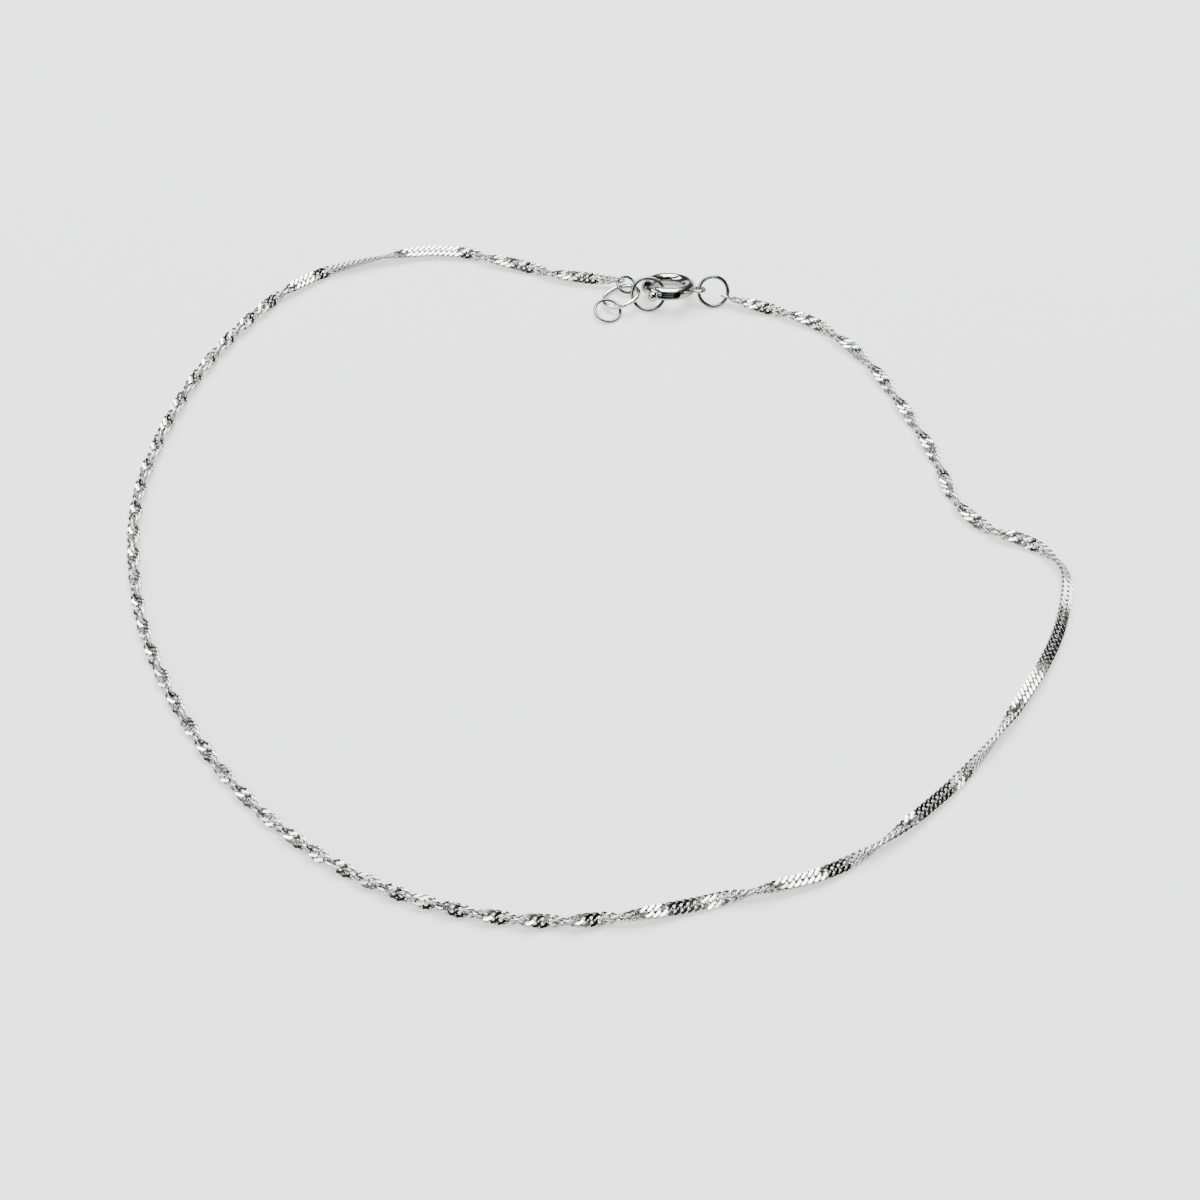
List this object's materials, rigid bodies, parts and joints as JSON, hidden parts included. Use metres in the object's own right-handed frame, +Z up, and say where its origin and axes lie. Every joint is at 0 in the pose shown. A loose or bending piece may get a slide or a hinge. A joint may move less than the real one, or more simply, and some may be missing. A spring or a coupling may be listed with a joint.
{
  "type": "chain anklet",
  "caption": "Fine twisted curb chain anklet in polished silver-coloured metal, closed by a spring-ring clasp and a short extension of rings, lying as a loop.",
  "frame": {"origin": "middle of the loop's outline, on the surface that the anklet lies on", "axes": "+Z up from that surface; +X along the loop's longest extent, with the clasp at the +Y side"},
  "size_m": [0.0859, 0.085, 0.0028],
  "materials": {
    "polished_chain": "polished, diamond-cut",
    "polished_rings": "polished",
    "polished_clasp": "polished"
  },
  "bodies": {
    "anklet": {"chain": "polished_chain", "jump_ring_left": "polished_rings", "extension_large_ring": "polished_rings", "extension_end_ring": "polished_rings", "extension_hook_ring": "polished_rings", "jump_ring_right": "polished_rings", "clasp_body": "polished_clasp"},
    "trigger": {"clasp_trigger": "polished_clasp"}
  },
  "joints": [
    {"name": "trigger_slide", "type": "hinge", "parent": "anklet", "child": "trigger", "pos_m": [0.00736, 0.03542, 0.00134], "axis": [0.0057, 0.3255, 0.9455], "range_deg": [0, 48], "stiffness_Nm_per_rad": 0.00002, "springref_deg": -11.46}
  ]
}
